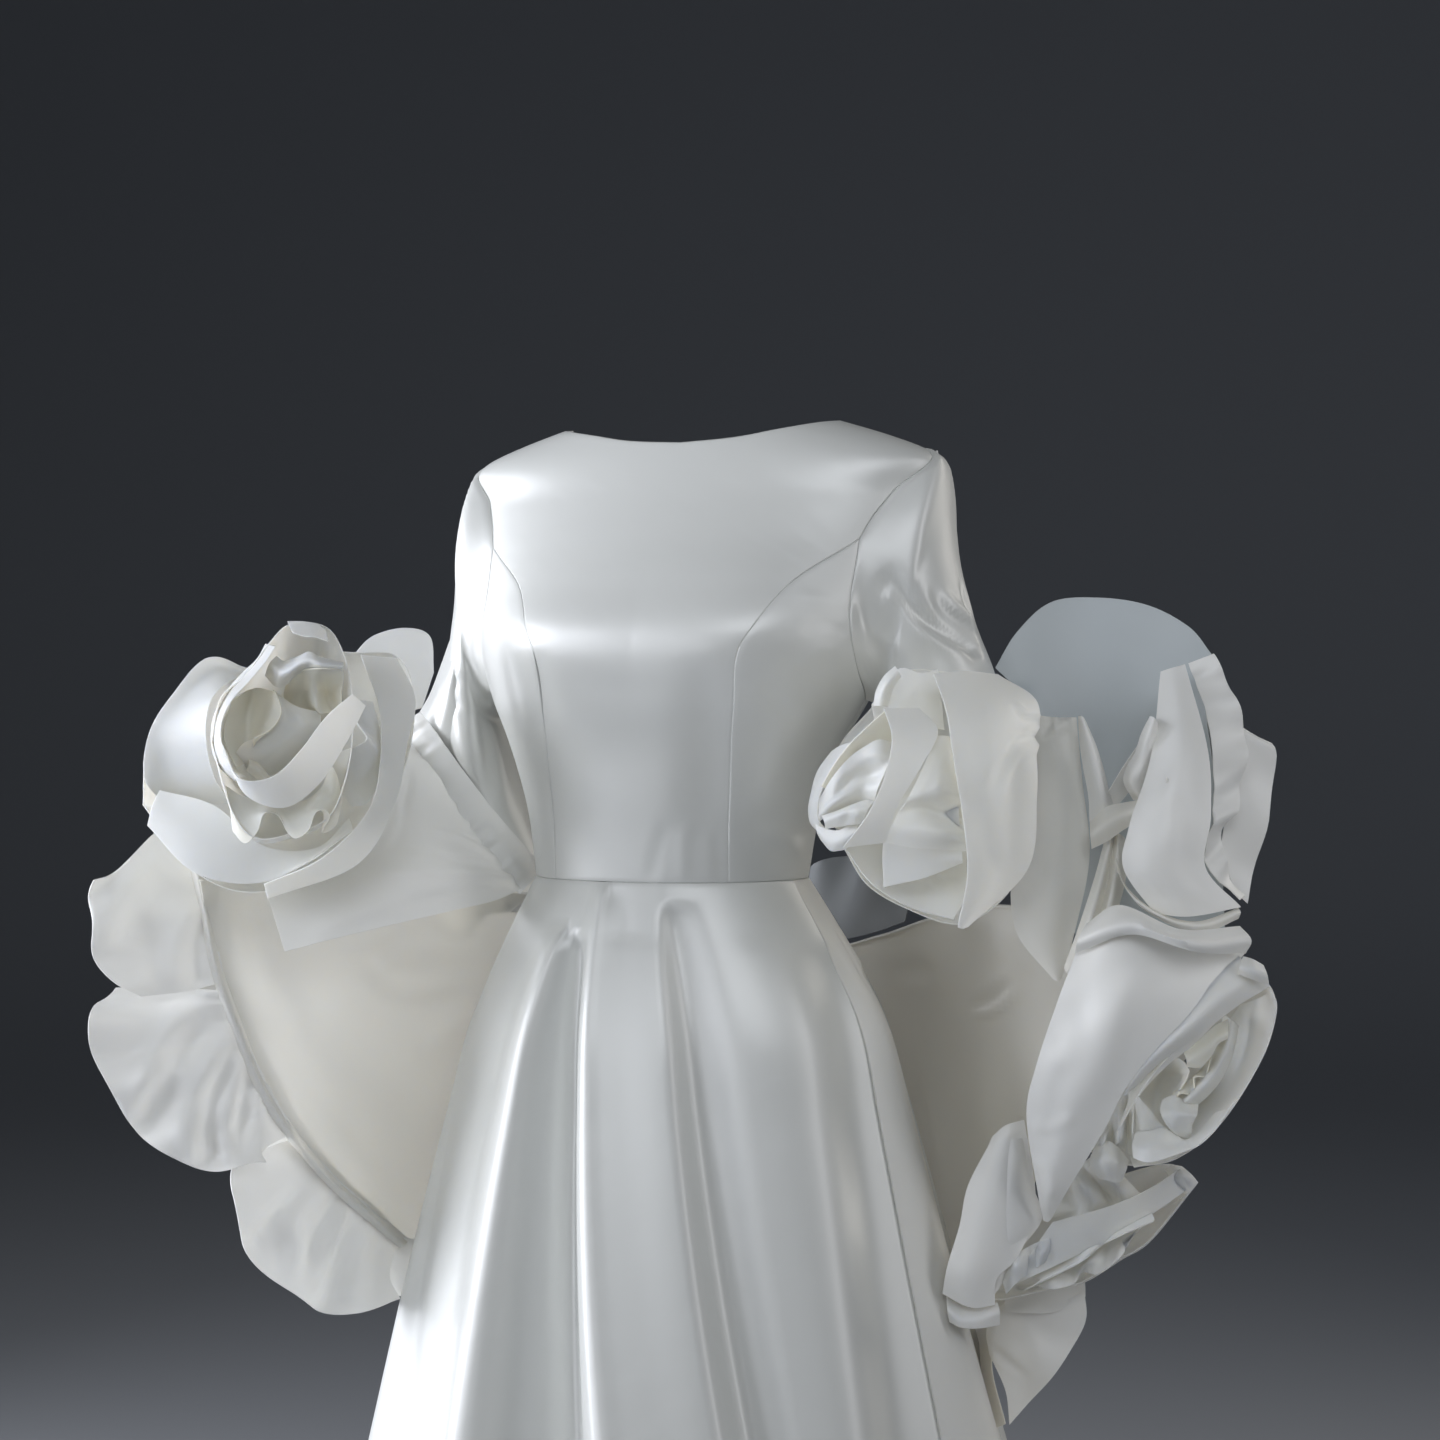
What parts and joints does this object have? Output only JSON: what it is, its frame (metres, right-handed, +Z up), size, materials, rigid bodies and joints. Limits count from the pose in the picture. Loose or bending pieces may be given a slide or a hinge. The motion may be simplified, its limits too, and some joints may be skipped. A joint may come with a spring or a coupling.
{
  "type": "wedding dress",
  "caption": "Wedding dress in heavy ivory satin: fitted bodice, boat neck, set-in sleeves, flared skirt and a wide drape from arm to arm with flounces and rolled roses.",
  "frame": {"origin": "between the wearer's shoulders, at the height of the neck ends of the shoulder seams, where the wearer holds the dress up", "axes": "+X to the wearer's left, +Y to the wearer's back, +Z up"},
  "size_m": [0.9585, 0.8718, 1.4952],
  "materials": {
    "dress_satin": "heavy duchesse satin, ivory white, soft sheen",
    "drape_satin": "heavy duchesse satin, cream inside, soft sheen",
    "petal_satin": "satin cut in petals and flounces, ivory, soft sheen"
  },
  "bodies": {
    "root": {"back_ruffle": "petal_satin", "bodice_back_left": "dress_satin", "bodice_back_right": "dress_satin", "bodice_front": "dress_satin", "bodice_side_front_left": "dress_satin", "bodice_side_front_right": "dress_satin", "drape_back": "drape_satin", "drape_flap": "drape_satin", "drape_left": "drape_satin", "drape_right": "drape_satin", "flounce_right_1": "petal_satin", "flounce_right_2": "petal_satin", "flounce_right_3": "petal_satin", "left_back_petal": "petal_satin", "left_end_flounce": "petal_satin", "left_flounce_1": "petal_satin", "left_flounce_2": "petal_satin", "left_fold": "petal_satin", "left_inner_fold": "petal_satin", "left_panel": "petal_satin", "left_puff": "petal_satin", "left_roll": "petal_satin", "left_tail": "petal_satin", "rose_end_band": "petal_satin", "rose_end_heart": "petal_satin", "rose_end_outer": "petal_satin", "rose_left_band": "petal_satin", "rose_left_cup": "petal_satin", "rose_left_fold": "petal_satin", "rose_left_heart": "petal_satin", "rose_left_outer": "petal_satin", "rose_left_strap": "petal_satin", "rose_left_top": "petal_satin", "rose_low_cuff": "petal_satin", "rose_low_cup": "petal_satin", "rose_low_heart": "petal_satin", "rose_low_outer": "petal_satin", "rose_right_back": "petal_satin", "rose_right_band": "petal_satin", "rose_right_bowl": "petal_satin", "rose_right_cup": "petal_satin", "rose_right_heart": "petal_satin", "rose_right_left": "petal_satin", "rose_right_low": "petal_satin", "rose_right_strap": "petal_satin", "skirt_back_left": "dress_satin", "skirt_back_right": "dress_satin", "skirt_front": "dress_satin", "skirt_side_left": "dress_satin", "sleeve_left": "dress_satin", "sleeve_right": "dress_satin"}
  },
  "joints": []
}
